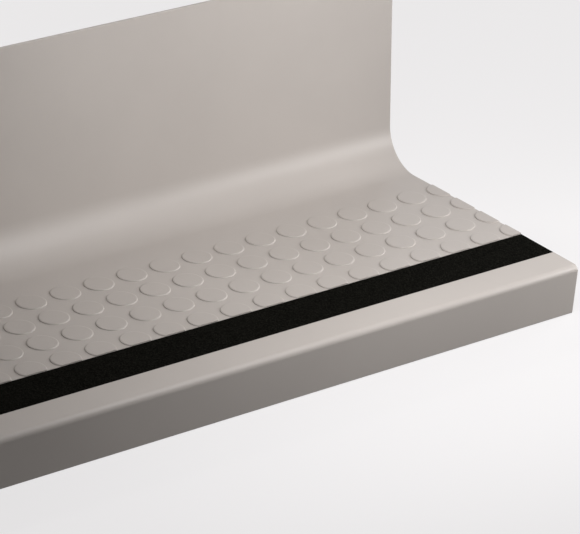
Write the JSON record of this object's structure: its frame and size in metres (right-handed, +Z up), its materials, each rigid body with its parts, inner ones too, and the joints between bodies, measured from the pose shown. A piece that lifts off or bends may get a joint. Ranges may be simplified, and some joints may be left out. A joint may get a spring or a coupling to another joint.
{
  "type": "rubber stair tread with integral riser",
  "caption": "Rubber stair tread moulded in one piece with a coved riser and a drop lip, its top studded with low discs, with a black grit strip inlaid behind the nose.",
  "frame": {"origin": "arris of the step that the tread covers, half way along: the underside of the plate is in Z = 0 and the back of the lip in Y = 0", "axes": "+X along the length, +Y from the nose to the riser, +Z up, with the tread level as it is laid"},
  "size_m": [0.914, 0.2583, 0.219],
  "materials": {
    "tread_rubber": "matt warm grey moulded rubber with a faint satin sheen",
    "grit_inlay": "black mineral grit bound in resin, matt and fine-grained"
  },
  "bodies": {
    "root": {"tread_riser": "tread_rubber", "grit_strip": "grit_inlay"}
  },
  "joints": []
}
